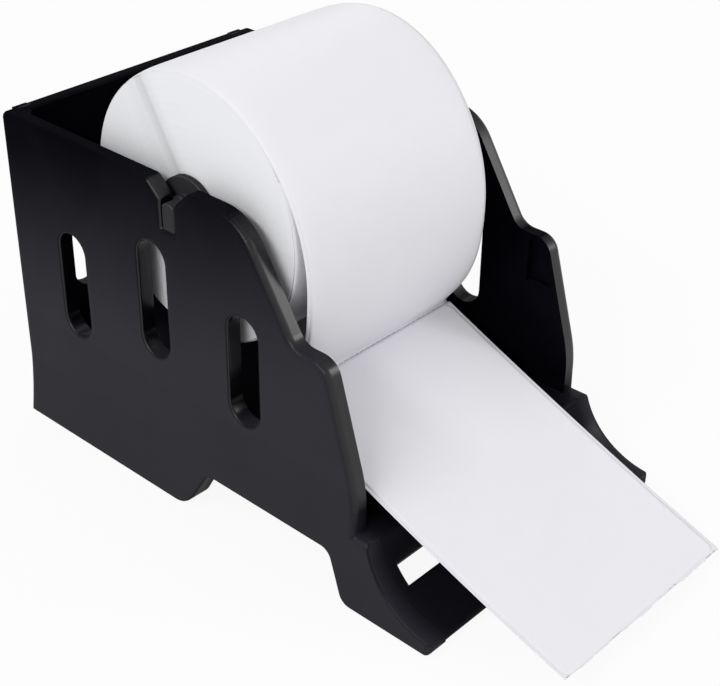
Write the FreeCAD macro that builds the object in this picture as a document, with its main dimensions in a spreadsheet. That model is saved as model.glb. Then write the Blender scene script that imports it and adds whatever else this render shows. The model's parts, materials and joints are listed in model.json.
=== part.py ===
"""Desk stand for a roll of die-cut thermal labels, as a parametric FreeCAD document.

Two moulded side panels hook onto a back panel and carry a floor plate with a curled front sill.
A spindle drops into a notch at the top of each side panel and carries the cored label roll.

Millimetres.  +Z up, origin on the table under the middle of the whole, free strip included,
the label strip leaves towards -Y, +X to the right seen from the front.  Sketches measure
from the rear face of the back panel, and place() moves the pieces to the origin.
"""
import FreeCAD, Part
import math
import os
import Sketcher

DOC = FreeCAD.newDocument("label_roll_stand")
SHEET = DOC.addObject("Spreadsheet::Sheet", "Dims")

# Driving dimensions: alias, value in mm (or degrees), meaning.
SIZES = [
    # side panel, seen from the side: distances in front of the rear face, heights over the table
    ("side_wall", 7.0, "side panel wall"),
    ("side_height", 145.0, "top edge of the side panels"),
    ("pad_proud", 0.6, "how far the rubber pads hold the mouldings off the table"),
    ("notch_centre", 101.2, "spindle notch and spindle axis, in front of the rear face"),
    ("notch_width", 8.0, "clear width of the spindle notch"),
    ("notch_depth", 19.0, "seat of the spindle's blade, under the top edge"),
    ("funnel_depth", 6.5, "where the notch opens into its funnel, under the top edge"),
    ("funnel_flare", 6.8, "how far the funnel opens on each side"),
    ("shoulder_front", 139.6, "corner where the top edge turns down"),
    ("valley_front", 166.9, "inner corner between the slope and the hump"),
    ("hump_front", 182.7, "front corner of the hump"),
    ("hump_height", 101.6, "top of the hump"),
    ("front_edge", 197.5, "upright front edge over the ledge"),
    ("knee_height", 51.4, "where the raked front edge turns upright"),
    ("ledge_height", 33.0, "ledge, and top of the floor plate"),
    ("ledge_front", 204.5, "front of the ledge, where the ramp starts"),
    ("lip_front", 238.0, "front of the lip"),
    ("lip_top", 6.0, "top of the lip"),
    ("ramp_radius", 35.0, "hollow of the front ramp"),
    ("toe_front", 106.1, "front corner of the rear foot"),
    ("arch_rear", 117.6, "rear upper corner of the arch"),
    ("arch_front", 185.4, "front upper corner of the arch"),
    ("heel_rear", 194.1, "rear corner of the front foot"),
    ("arch_height", 20.9, "underside of the arch"),
    ("shoulder_radius", 22.0, "round of the shoulder"),
    ("hump_radius", 8.5, "round of the hump, and the valley behind it"),
    ("knee_radius", 55.0, "bend of the front edge"),
    ("toe_radius", 12.0, "round of the rear foot's toe"),
    ("arch_radius", 6.0, "rounds of the arch and of the front foot's heel"),
    ("mouth_radius", 3.0, "rounds at the funnel's mouth"),
    ("lip_radius", 2.2, "rounds of the lip"),
    ("tip_round", 3.0, "upright outer corner of the lip"),
    ("rear_radius", 2.0, "round of the rear upper corner"),
    ("rim_round", 2.5, "rolled outer edge of the side panels, over the ledge"),
    ("notch_round", 1.2, "rolled outer edge of the notch"),
    # flared skirt of the side panels
    ("skirt_flare", 2.8, "how far the foot stands out under the upright face"),
    ("skirt_height", 28.3, "crease over the skirt, behind"),
    ("skirt_even", 85.0, "length over which the crease stays level"),
    ("skirt_front_height", 50.0, "height at which the crease dies out in front"),
    ("skirt_radius", 240.0, "hollow of the skirt, behind"),
    ("skirt_front_radius", 700.0, "hollow of the skirt, in front"),
    # upright slots
    ("slot_width", 17.0, "clear width of every slot"),
    ("slot_first", 39.7, "centre of the rearmost side slot"),
    ("slot_pitch", 50.4, "side slot to side slot"),
    ("slot_low_rear", 54.0, "bottom of the rear slot"),
    ("slot_low_mid", 65.5, "bottom of the middle slot"),
    ("slot_low_front", 56.0, "bottom of the front slot"),
    ("slot_length", 49.0, "rear and front slot, end to end"),
    ("slot_length_mid", 53.0, "middle slot, end to end"),
    ("back_slot_pitch", 36.7, "back slot to back slot"),
    ("back_slot_low", 53.5, "bottom of the back slots"),
    # hooked corner joint between side and back panels
    ("back_wall", 6.0, "back panel wall"),
    ("back_bottom", 8.0, "lower edge of the back panel, and foot of its channels"),
    ("back_round", 1.0, "rounded top edges of the back panel"),
    ("flange_thick", 2.2, "side panel's flange behind the back panel"),
    ("flange_reach", 6.0, "flange past the side panel's inner face"),
    ("tongue_depth", 2.8, "back panel's tongue into the side wall"),
    ("bead_wide", 1.9, "hooked bead on the tongue, along the back panel"),
    ("bead_proud", 1.5, "hooked bead on the tongue, towards the front"),
    ("keeper_reach", 2.6, "keeper rib past the side panel's inner face"),
    ("keeper_thick", 4.2, "keeper rib in front of the back panel"),
    ("keeper_bevel", 2.0, "bevel on the keeper rib's free corner"),
    ("fit_gap", 0.15, "clearance in the push-together joints"),
    # floor plate
    ("floor_thick", 3.0, "floor and ramp wall"),
    ("groove_depth", 2.2, "floor groove in the side walls"),
    ("groove_front", 188.0, "front end of the floor groove"),
    ("groove_rear", 14.0, "rear end of the floor groove"),
    ("nose_round", 1.2, "rounded ledge"),
    ("window_end", 3.8, "side panel's inner face to the end of the sill window"),
    ("window_rear", 208.0, "rear edge of the sill window"),
    ("window_front", 216.2, "front edge of the sill window"),
    ("rib_height", 7.0, "stiffening ribs under the floor"),
    ("rib_thick", 1.8, "stiffening ribs"),
    ("rib_pitch", 38.0, "rib to rib"),
    # bayonet recess for a guide rod, inside each hump
    ("recess_rear", 173.3, "rear side of the upright leg"),
    ("recess_width", 4.2, "width of both legs"),
    ("recess_low", 79.0, "underside of the foot"),
    ("recess_top", 98.5, "top of the upright leg"),
    ("recess_front", 185.8, "front end of the foot"),
    ("recess_depth", 2.5, "depth in the inner face"),
    # rubber pads
    ("pad_length", 32.0, "pad, end to end"),
    ("pad_width", 6.0, "pad"),
    ("pad_sunk", 1.2, "pad in its pocket"),
    ("pad_rear_centre", 50.0, "middle of the rear pads"),
    ("pad_front_centre", 214.0, "middle of the front pads"),
    # spindle
    ("axis_rise", 4.4, "spindle and roll axis over the blade's seat"),
    ("tube_radius", 12.4, "spindle tube"),
    ("tube_wall", 2.2, "spindle tube wall"),
    ("side_play", 0.3, "end play of the spindle, and roll to flange"),
    ("flange_radius", 14.8, "end cap flange"),
    ("flange_width", 2.5, "end cap flange"),
    ("neck_radius", 7.6, "end cap neck"),
    ("neck_length", 2.8, "end cap neck"),
    ("plug_length", 14.0, "end cap plug inside the tube"),
    ("blade_width", 7.2, "end cap blade in the notch"),
    ("blade_height", 11.6, "end cap blade"),
    ("blade_crown", 4.2, "rounded top of the blade"),
    ("blade_setback", 0.6, "blade end behind the outer face"),
    ("blade_round", 1.0, "rounded end of the blade"),
    # roll, outermost turn and tail
    ("web_width", 103.7, "liner web"),
    ("roll_float", 10.8, "roll's play along the spindle"),
    ("core_gap", 0.3, "core bore round the tube"),
    ("core_wall", 2.0, "cardboard core wall"),
    ("wind_gap", 0.1, "first turn round the core"),
    ("roll_radius", 55.7, "outside of the outermost turn"),
    ("web_thick", 0.3, "liner with its labels"),
    ("turn_gap", 0.3, "clearance round the outermost turn"),
    ("depart_angle", 130.0, "where the outermost turn leaves the roll, from +Y over the top"),
    ("belly_radius", 73.0, "loose turn, from the roll down to its belly"),
    ("fold_front", 145.4, "fold where the loose turn meets the strip"),
    ("fold_drop", 64.0, "fold under the roll's axis"),
    ("fold_run", 0.35, "fold, from back to front"),
    ("fold_fall", 1.55, "fold, from top to bottom"),
    ("fold_radius", 1.0, "round of the fold"),
    ("under_angle", 150.0, "where the turn below lies under the outermost one"),
    ("slack_front", 156.4, "loosest point of the turn below"),
    ("slack_drop", 24.6, "the same, under the roll's axis"),
    ("slack_radius", 61.5, "turn below, above its loosest point"),
    ("sag_angle", 260.0, "where the turn below closes on the roll again"),
    ("sag_radius", 52.0, "turn below, from its loosest point round to there"),
    ("strip_end", 288.0, "free end of the strip"),
    ("strip_over_lip", 23.0, "strip over the lip"),
    ("strip_curl", 1200.0, "curl of the strip"),
    ("liner_thick", 0.2, "liner of the strip"),
    ("label_thick", 0.2, "front label"),
    ("label_lift", 0.1, "front label over the liner, its adhesive"),
    ("label_width", 101.0, "front label"),
    ("label_length", 149.5, "front label"),
    ("label_corner", 3.0, "front label"),
    ("label_inset", 1.4, "front label back from the liner's end"),
]


class Size:
    """A number together with the sheet expression that drives it."""

    def __init__(self, value, text):
        self.value, self.text = value, text

    def _join(self, other, sign, value):
        text = other.text if isinstance(other, Size) else str(other)
        return Size(value, "(%s %s %s)" % (self.text, sign, text))

    def __add__(self, other):
        return self._join(other, "+", self.value + number(other))

    def __sub__(self, other):
        return self._join(other, "-", self.value - number(other))

    def __mul__(self, other):
        return self._join(other, "*", self.value * number(other))

    def __truediv__(self, other):
        return self._join(other, "/", self.value / number(other))

    def __neg__(self):
        return Size(-self.value, "(0 - %s)" % self.text)


def number(item):
    """Plain value of a Size or of a number."""
    return item.value if isinstance(item, Size) else float(item)


def cosine(angle):
    """Cosine of an angle in degrees, as a Size."""
    return Size(math.cos(math.radians(angle.value)), "cos(%s)" % angle.text)


def sine(angle):
    """Sine of an angle in degrees, as a Size."""
    return Size(math.sin(math.radians(angle.value)), "sin(%s)" % angle.text)


def slope(drop, run):
    """Angle in degrees of a slope, as a Size."""
    return Size(math.degrees(math.atan2(drop.value, run.value)),
                "(atan(%s / %s) / 1deg)" % (drop.text, run.text))


def root(square):
    """Square root, as a Size."""
    return Size(math.sqrt(square.value), "sqrt(%s)" % square.text)


class Sizes:
    """The sheet's aliases as Size attributes."""


def fill_sheet():
    """Write the driving dimensions into the sheet and return them as Size attributes."""
    sizes = Sizes()
    for row, (alias, value, meaning) in enumerate(SIZES, start=1):
        SHEET.set("A%d" % row, meaning)
        SHEET.set("B%d" % row, str(value))
        SHEET.setAlias("B%d" % row, alias)
        setattr(sizes, alias, Size(value, "Dims." + alias))
    DOC.recompute()
    return sizes


S = fill_sheet()
BOTTOM = S.pad_proud
NOTCH_FLOOR = S.side_height - S.notch_depth
AXIS_HEIGHT = NOTCH_FLOOR + S.axis_rise
TUBE_HALF = (S.side_play + S.web_width + S.roll_float) / 2
INNER_HALF = TUBE_HALF + S.flange_width + S.neck_length + S.side_play
OUTER_HALF = INNER_HALF + S.side_wall
WEB_LEFT = -TUBE_HALF + S.side_play
FOLD_HEIGHT = AXIS_HEIGHT - S.fold_drop
TURN_INSIDE = S.roll_radius - S.web_thick
MIDDLE = S.strip_end / 2

# ---------------------------------------------------------------- sketch helpers


def new_body(name):
    """A PartDesign body whose label is the node's name."""
    body = DOC.addObject("PartDesign::Body", name)
    body.Label = name
    return body


def new_sketch(body, role, name, offset=None):
    """Sketch on one of the body's own origin planes, moved along the plane's normal by offset."""
    sketch = body.newObject("Sketcher::SketchObject", name)
    plane = [f for f in body.Origin.OriginFeatures if f.Role == role][0]
    sketch.AttachmentSupport = [(plane, "")]
    sketch.MapMode = "FlatFace"
    if offset is not None:
        sketch.AttachmentOffset = FreeCAD.Placement(
            FreeCAD.Vector(0, 0, number(offset)), FreeCAD.Rotation())
        sketch.setExpression("AttachmentOffset.Base.z", offset.text)
    return sketch


def bind(sketch, kind, args, size):
    """Add a dimension whose value follows the sheet."""
    index = sketch.addConstraint(Sketcher.Constraint(kind, *args, size.value))
    sketch.setExpression("Constraints[%d]" % index, size.text)


def hold(sketch, geo, pos, x, y):
    """Pin a point at x, y; a plain 0 means on the axis, None leaves the coordinate to the solver."""
    for kind, axis, coordinate in (("DistanceX", -2, x), ("DistanceY", -1, y)):
        if isinstance(coordinate, Size):
            bind(sketch, kind, (-1, 1, geo, pos), coordinate)
        elif coordinate is not None:
            sketch.addConstraint(Sketcher.Constraint("PointOnObject", geo, pos, axis))


def arc_through(start, end, radius, turns_left):
    """Arc from start to end that turns left or right on its way; under half a circle."""
    (x0, y0), (x1, y1) = start, end
    half = math.hypot(x1 - x0, y1 - y0) / 2
    rise = math.sqrt(radius ** 2 - half ** 2) * (1 if turns_left else -1)
    cx = (x0 + x1) / 2 - (y1 - y0) / (2 * half) * rise
    cy = (y0 + y1) / 2 + (x1 - x0) / (2 * half) * rise
    a0, a1 = math.atan2(y0 - cy, x0 - cx), math.atan2(y1 - cy, x1 - cx)
    if not turns_left:
        a0, a1 = a1, a0
    circle = Part.Circle(FreeCAD.Vector(cx, cy, 0), FreeCAD.Vector(0, 0, 1), radius)
    return Part.ArcOfCircle(circle, a0, a1 if a1 > a0 else a1 + 2 * math.pi)


def draw(sketch, corners, arcs, closed):
    """Lines through the corners; arcs maps a segment's number to (radius, turns_left)."""
    points = [(number(x), number(y)) for x, y in corners]
    joints = []
    for i in range(len(points) if closed else len(points) - 1):
        point, after = points[i], points[(i + 1) % len(points)]
        if i in arcs:
            radius, turns_left = arcs[i]
            geo = sketch.addGeometry(arc_through(point, after, radius.value, turns_left), False)
            bind(sketch, "Radius", (geo,), radius)
            joints.append((geo, 1, 2) if turns_left else (geo, 2, 1))
        else:
            line = Part.LineSegment(FreeCAD.Vector(*point, 0), FreeCAD.Vector(*after, 0))
            joints.append((sketch.addGeometry(line, False), 1, 2))
    for i, (geo, start, end) in enumerate(joints):
        hold(sketch, geo, start, *corners[i])
        if closed or i + 1 < len(joints):
            after = joints[(i + 1) % len(joints)]
            sketch.addConstraint(Sketcher.Constraint("Coincident", geo, end, after[0], after[1]))
        else:
            hold(sketch, geo, end, *corners[-1])


def outline(sketch, corners, arcs=None):
    """Closed outline through the corners."""
    draw(sketch, corners, arcs or {}, True)


def rectangle(sketch, x0, y0, x1, y1):
    """Rectangle between two opposite corners."""
    outline(sketch, [(x0, y0), (x1, y0), (x1, y1), (x0, y1)])


def upright_slot(sketch, centre, low, length, width):
    """Obround standing upright: half circles at both ends, tangent to the sides."""
    radius = width / 2
    foot, head = low + radius, low + length - radius
    x, y0, y1, r = number(centre), foot.value, head.value, radius.value
    up = FreeCAD.Vector(0, 0, 1)
    below = Part.ArcOfCircle(Part.Circle(FreeCAD.Vector(x, y0, 0), up, r), math.pi, 2 * math.pi)
    above = Part.ArcOfCircle(Part.Circle(FreeCAD.Vector(x, y1, 0), up, r), 0, math.pi)
    right = Part.LineSegment(FreeCAD.Vector(x + r, y0, 0), FreeCAD.Vector(x + r, y1, 0))
    left = Part.LineSegment(FreeCAD.Vector(x - r, y1, 0), FreeCAD.Vector(x - r, y0, 0))
    loop = [sketch.addGeometry(item, False) for item in (below, right, above, left)]
    for i, geo in enumerate(loop):
        sketch.addConstraint(Sketcher.Constraint("Tangent", geo, 2, loop[(i + 1) % 4], 1))
    for geo, height in ((loop[0], foot), (loop[2], head)):
        bind(sketch, "Radius", (geo,), radius)
        hold(sketch, geo, 3, centre, height)


# ---------------------------------------------------------------- feature helpers


def add(body, kind, name, **values):
    """New feature in a body; Size values are bound to the sheet."""
    feature = body.newObject("PartDesign::" + kind, name)
    for key, value in values.items():
        if isinstance(value, Size):
            setattr(feature, key, value.value)
            feature.setExpression(key, value.text)
        else:
            setattr(feature, key, value)
    DOC.recompute()
    if "Invalid" in feature.State or feature.Shape.isNull():
        raise RuntimeError("%s of %s fails" % (name, body.Label))
    return feature


def cut(body, name, sketch, length=None, reverse=False):
    """Pocket, through everything both ways unless a length is given; it has to remove material."""
    before = body.Shape.Volume
    if length is None:
        pocket = add(body, "Pocket", name, Profile=sketch, Type=1, Midplane=True)
    else:
        pocket = add(body, "Pocket", name, Profile=sketch, Length=length, Reversed=reverse)
    if not body.Shape.Volume < before - 0.1:
        raise RuntimeError("%s removes nothing" % name)
    return pocket


def edges_where(shape, test):
    """Names of the edges that pass a test of their middle point and direction box."""
    return ["Edge%d" % (i + 1) for i, edge in enumerate(shape.Edges) if test(edge)]


def crosswise_at(edge, spots):
    """True for a straight edge along X that runs through one of the (y, z) spots."""
    box = edge.BoundBox
    if box.YLength > 0.01 or box.ZLength > 0.01:
        return False
    return any(math.hypot(box.YMin - y, box.ZMin - z) < 0.05 for y, z in spots)


def round_corners(body, name, radius, spots):
    """Fillet the crosswise edges at the given outline corners."""
    base = body.Tip
    spots = [(number(y), number(z)) for y, z in spots]
    names = edges_where(base.Shape, lambda e: crosswise_at(e, spots))
    if len(names) < len(spots):
        raise RuntimeError("%s finds %d of %d corners" % (name, len(names), len(spots)))
    return add(body, "Fillet", name, Base=(base, names), Radius=radius)


def round_edges(body, name, radius, test):
    """Fillet every edge that passes the test."""
    base = body.Tip
    names = edges_where(base.Shape, test)
    if not names:
        raise RuntimeError("%s finds no edge" % name)
    return add(body, "Fillet", name, Base=(base, names), Radius=radius)


def place(item, x=None, y=None, z=None):
    """Bind an object's place to the sheet, y counted from the rear face."""
    for axis, size in (("x", x), ("y", MIDDLE if y is None else MIDDLE + y), ("z", z)):
        if size is not None:
            item.setExpression("Placement.Base." + axis, size.text)
    DOC.recompute()


# ---------------------------------------------------------------- side panels


def skirt_section(body, name, distance, crease, radius):
    """Cross-section of the skirt outside the upright face: hollow flare from crease to sole."""
    sketch = new_sketch(body, "XZ_Plane", name, distance)
    outline(sketch, [(-S.skirt_flare, BOTTOM), (0, BOTTOM), (0, crease)], {2: (radius, False)})
    return sketch


def side_corners():
    """Corners of the side panel's outline as (y, z), from the rear foot round over the top."""
    rear_jaw = -S.notch_centre + S.notch_width / 2
    front_jaw = -S.notch_centre - S.notch_width / 2
    throat = S.side_height - S.funnel_depth
    return {
        "rear_foot": (0, BOTTOM),
        "rear_top": (0, S.side_height),
        "mouth_rear": (rear_jaw + S.funnel_flare, S.side_height),
        "throat_rear": (rear_jaw, throat),
        "seat_rear": (rear_jaw, NOTCH_FLOOR),
        "seat_front": (front_jaw, NOTCH_FLOOR),
        "throat_front": (front_jaw, throat),
        "mouth_front": (front_jaw - S.funnel_flare, S.side_height),
        "shoulder": (-S.shoulder_front, S.side_height),
        "valley": (-S.valley_front, S.hump_height),
        "hump": (-S.hump_front, S.hump_height),
        "knee": (-S.front_edge, S.knee_height),
        "ledge_rear": (-S.front_edge, S.ledge_height),
        "ledge_front": (-S.ledge_front, S.ledge_height),
        "lip_top": (-S.lip_front, S.lip_top),
        "lip_bottom": (-S.lip_front, BOTTOM),
        "heel": (-S.heel_rear, BOTTOM),
        "arch_front": (-S.arch_front, S.arch_height),
        "arch_rear": (-S.arch_rear, S.arch_height),
        "toe": (-S.toe_front, BOTTOM),
    }


def outside_outline(body, corners):
    """Everything round the side panel's outline, as one sketch to cut away."""
    sketch = new_sketch(body, "YZ_Plane", "outside_outline")
    names = list(corners)
    ramp = names.index("ledge_front")
    outline(sketch, list(corners.values()), {ramp: (S.ramp_radius, False)})
    margin = S.back_wall * 2
    rectangle(sketch, margin, -margin, -S.lip_front - margin, S.side_height + margin)
    return sketch


def left_side_panel():
    """Left side panel: wall with a lofted skirt, cut to its outline, rounded, then slotted."""
    body = new_body("side_panel_left")
    wall = new_sketch(body, "YZ_Plane", "wall")
    rectangle(wall, 0, BOTTOM, -S.lip_front, S.side_height)
    add(body, "Pad", "wall_pad", Profile=wall, Length=S.side_wall)
    rear = skirt_section(body, "skirt_rear", S.skirt_even * 0, S.skirt_height, S.skirt_radius)
    even = skirt_section(body, "skirt_even", S.skirt_even, S.skirt_height, S.skirt_radius)
    front = skirt_section(body, "skirt_front", S.lip_front, S.skirt_front_height,
                          S.skirt_front_radius)
    DOC.recompute()
    add(body, "AdditiveLoft", "skirt", Profile=rear, Sections=[even, front], Ruled=True)
    at = side_corners()
    cut(body, "outline_cut", outside_outline(body, at))

    round_corners(body, "shoulder_round", S.shoulder_radius, [at["shoulder"]])
    round_corners(body, "hump_round", S.hump_radius, [at["valley"], at["hump"]])
    round_corners(body, "knee_round", S.knee_radius, [at["knee"]])
    round_corners(body, "toe_round", S.toe_radius, [at["toe"]])
    round_corners(body, "arch_round", S.arch_radius,
                  [at["arch_rear"], at["arch_front"], at["heel"]])
    round_corners(body, "mouth_round", S.mouth_radius, [at["mouth_rear"], at["mouth_front"]])
    round_corners(body, "lip_round", S.lip_radius, [at["lip_top"], at["lip_bottom"]])
    round_corners(body, "rear_round", S.rear_radius, [at["rear_top"]])
    roll_outer_edges(body)
    tip_corner(body)
    side_slots(body)
    corner_joint(body)
    floor_groove(body)
    rod_recess(body)
    pad_pockets(body)
    place(body, -OUTER_HALF)
    return body


def is_outer_skin(face):
    """True for the upright outer face and the skirt below it."""
    box = face.BoundBox
    return box.XMax < 0.01 and box.YLength > 50 and box.ZLength > 5


def on_rim(shape, edge):
    """True for an edge between the outer skin and something else."""
    return [is_outer_skin(f) for f in shape.ancestorsOfType(edge, Part.Face)].count(True) == 1


def roll_outer_edges(body):
    """Round the outer rim over the ledge, less in the notch than elsewhere."""
    ledge = S.ledge_height.value
    jaws = [-S.notch_centre.value + side * S.notch_width.value / 2 for side in (-1, 1)]
    floor, throat = NOTCH_FLOOR.value, (S.side_height - S.funnel_depth).value

    def in_notch(edge):
        middle = edge.CenterOfMass
        return jaws[0] - 0.1 < middle.y < jaws[1] + 0.1 and floor - 0.1 < middle.z < throat

    for name, radius, test in (
            ("rim_round_over_ledge", S.rim_round,
             lambda e: e.CenterOfMass.z > ledge and not in_notch(e)),
            ("rim_round_notch", S.notch_round, in_notch)):
        shape = body.Tip.Shape
        round_edges(body, name, radius, lambda e: on_rim(shape, e) and test(e))


def tip_corner(body):
    """Turn the lip's upright outer corner round, seen from above."""
    sketch = new_sketch(body, "XY_Plane", "tip_corner")
    side, front, radius = -S.skirt_flare, -S.lip_front, S.tip_round
    outline(sketch, [(side - 1, front + radius), (side, front + radius), (side + radius, front),
                     (side + radius, front - 1), (side - 1, front - 1)], {1: (radius, True)})
    cut(body, "tip_corner_cut", sketch)


def side_slots(body):
    """Three upright slots, rolled outwards."""
    for index, (label, low, length) in enumerate((
            ("rear", S.slot_low_rear, S.slot_length),
            ("mid", S.slot_low_mid, S.slot_length_mid),
            ("front", S.slot_low_front, S.slot_length))):
        sketch = new_sketch(body, "YZ_Plane", "slot_" + label)
        upright_slot(sketch, -(S.slot_first + S.slot_pitch * index), low, length, S.slot_width)
        cut(body, "slot_cut_" + label, sketch)


def corner_joint(body):
    """Flange, channel and keeper rib that hook the back panel's edge."""
    rise = S.side_height - S.back_bottom
    channel_front = -S.back_wall - S.fit_gap
    flange = new_sketch(body, "XY_Plane", "flange", S.back_bottom)
    rectangle(flange, S.side_wall - 1, 0, S.side_wall + S.flange_reach, -S.flange_thick)
    add(body, "Pad", "flange_pad", Profile=flange, Length=rise)
    keeper = new_sketch(body, "XY_Plane", "keeper", S.ledge_height + S.fit_gap)
    keeper_front = channel_front - S.keeper_thick
    outline(keeper, [
        (S.side_wall - 1, channel_front), (S.side_wall - 1, keeper_front),
        (S.side_wall + S.keeper_reach - S.keeper_bevel, keeper_front),
        (S.side_wall + S.keeper_reach, keeper_front + S.keeper_bevel),
        (S.side_wall + S.keeper_reach, channel_front)])
    add(body, "Pad", "keeper_pad", Profile=keeper,
        Length=S.side_height - S.ledge_height - S.fit_gap)
    channel = new_sketch(body, "XY_Plane", "channel", S.back_bottom)
    deep = S.side_wall - S.tongue_depth - S.fit_gap
    bead_edge = deep + S.bead_wide + S.fit_gap * 2
    outline(channel, [
        (deep, -S.flange_thick), (S.side_wall + 1, -S.flange_thick),
        (S.side_wall + 1, channel_front), (bead_edge, channel_front),
        (bead_edge, channel_front - S.bead_proud), (deep, channel_front - S.bead_proud)])
    cut(body, "channel_cut", channel, rise + 1, reverse=True)


def floor_groove(body):
    """Groove in the inner face for the floor plate's edge."""
    sketch = new_sketch(body, "YZ_Plane", "floor_groove", S.side_wall)
    rectangle(sketch, -S.groove_rear, S.ledge_height - S.floor_thick - S.fit_gap,
              -S.groove_front, S.ledge_height + S.fit_gap)
    cut(body, "floor_groove_cut", sketch, S.groove_depth)


def rod_recess(body):
    """L-shaped bayonet recess inside the hump."""
    sketch = new_sketch(body, "YZ_Plane", "rod_recess", S.side_wall)
    outline(sketch, [
        (-S.recess_rear, S.recess_low), (-S.recess_rear, S.recess_top),
        (-S.recess_rear - S.recess_width, S.recess_top),
        (-S.recess_rear - S.recess_width, S.recess_low + S.recess_width),
        (-S.recess_front, S.recess_low + S.recess_width), (-S.recess_front, S.recess_low)])
    cut(body, "rod_recess_cut", sketch, S.recess_depth)


def pad_pockets(body):
    """Pockets under the feet for the rubber pads."""
    sketch = new_sketch(body, "XY_Plane", "pad_pockets", BOTTOM)
    across = S.pad_width / 2 + S.fit_gap
    along = S.pad_length / 2 + S.fit_gap
    for centre in (S.pad_rear_centre, S.pad_front_centre):
        rectangle(sketch, pad_centre_x() - across, -centre - along,
                  pad_centre_x() + across, -centre + along)
    cut(body, "pad_pocket_cut", sketch, S.pad_sunk, reverse=True)


def pad_centre_x():
    """Middle of the foot's sole across the side panel, in the panel's own frame."""
    return (S.side_wall - S.skirt_flare) / 2


def right_side_panel(left):
    """Right side panel: the left one mirrored in the centre plane."""
    mirror = DOC.addObject("Part::Mirroring", "side_panel_right")
    mirror.Label = "side_panel_right"
    mirror.Source = left
    mirror.Normal = (1, 0, 0)
    mirror.Base = (0, 0, 0)
    return mirror


# ---------------------------------------------------------------- back panel and floor plate


def back_panel():
    """Back panel: plate with a hooked tongue at each end, three slots."""
    body = new_body("back_panel")
    plan = new_sketch(body, "XY_Plane", "plan", S.back_bottom)
    face = INNER_HALF - S.flange_reach - S.fit_gap
    tip = INNER_HALF + S.tongue_depth
    rebate = -S.flange_thick - S.fit_gap
    hook = -S.back_wall - S.bead_proud
    right = [(face, 0), (face, rebate), (tip, rebate), (tip, hook), (tip - S.bead_wide, hook),
             (tip - S.bead_wide, -S.back_wall)]
    left = [(-x, y) for x, y in reversed(right)]
    outline(plan, right + left)
    add(body, "Pad", "plate", Profile=plan, Length=S.side_height - S.back_bottom)
    for index in (-1, 0, 1):
        sketch = new_sketch(body, "XZ_Plane", "back_slot_%d" % (index + 2))
        upright_slot(sketch, S.back_slot_pitch * index, S.back_slot_low, S.slot_length,
                     S.slot_width)
        cut(body, "back_slot_cut_%d" % (index + 2), sketch)
    top = S.side_height.value
    round_edges(body, "top_round", S.back_round, lambda e: e.BoundBox.ZMin > top - 0.01
                and e.BoundBox.XLength > OUTER_HALF.value)
    place(body)
    return body


def base_plate():
    """Floor plate that curls down into the front sill, with edge tongues and ribs below."""
    body = new_body("base_plate")
    profile = new_sketch(body, "YZ_Plane", "profile")
    under = S.ledge_height - S.floor_thick
    rear = -S.back_wall - S.fit_gap
    outline(profile, [
        (rear, S.ledge_height), (-S.ledge_front, S.ledge_height), (-S.lip_front, S.lip_top),
        (-S.lip_front, S.lip_top - S.floor_thick), (-S.ledge_front + S.floor_thick, under),
        (rear, under)],
        {1: (S.ramp_radius, False), 3: (S.ramp_radius + S.floor_thick, True)})
    add(body, "Pad", "sheet", Profile=profile, Length=(INNER_HALF - S.fit_gap) * 2,
        Midplane=True)
    tongues = new_sketch(body, "XY_Plane", "tongues", under)
    edge = INNER_HALF + S.groove_depth - S.fit_gap
    rectangle(tongues, -edge, -S.groove_rear - S.fit_gap, edge, -S.groove_front + S.fit_gap)
    add(body, "Pad", "tongue_pad", Profile=tongues, Length=S.floor_thick)
    window = new_sketch(body, "XY_Plane", "window")
    half = INNER_HALF - S.window_end
    rectangle(window, -half, -S.window_rear, half, -S.window_front)
    cut(body, "window_cut", window)
    ribs = new_sketch(body, "XY_Plane", "ribs", under)
    for index in (-1, 0, 1):
        middle = S.rib_pitch * index
        rectangle(ribs, middle - S.rib_thick / 2, rear, middle + S.rib_thick / 2,
                  -S.groove_front)
    add(body, "Pad", "rib_pad", Profile=ribs, Length=S.rib_height, Reversed=True)
    round_corners(body, "nose_round", S.nose_round, [(-S.ledge_front, S.ledge_height)])
    round_corners(body, "lip_round", S.lip_radius, [(-S.lip_front, S.lip_top)])
    place(body)
    return body


# ---------------------------------------------------------------- pads


def foot_pad(name, side, centre):
    """Rubber pad, cut from strip, in its pocket under a side panel."""
    body = new_body(name)
    sketch = new_sketch(body, "XY_Plane", "sole")
    x = (OUTER_HALF - pad_centre_x()) * side
    rectangle(sketch, x - S.pad_width / 2, -centre - S.pad_length / 2,
              x + S.pad_width / 2, -centre + S.pad_length / 2)
    add(body, "Pad", "pad", Profile=sketch, Length=S.pad_proud + S.pad_sunk)
    place(body)
    return body


# ---------------------------------------------------------------- spindle


def ring(name, outer, inner, length, middle=None):
    """Hollow cylinder on the spindle axis, its middle beside the centre plane."""
    body = new_body(name)
    sketch = new_sketch(body, "YZ_Plane", "section")
    for radius in (outer, inner):
        circle = Part.Circle(FreeCAD.Vector(0, 0, 0), FreeCAD.Vector(0, 0, 1), radius.value)
        geo = sketch.addGeometry(circle, False)
        sketch.addConstraint(Sketcher.Constraint("Coincident", geo, 3, -1, 1))
        bind(sketch, "Radius", (geo,), radius)
    add(body, "Pad", "pad", Profile=sketch, Length=length, Midplane=True)
    place(body, middle, -S.notch_centre, AXIS_HEIGHT)
    return body


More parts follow.
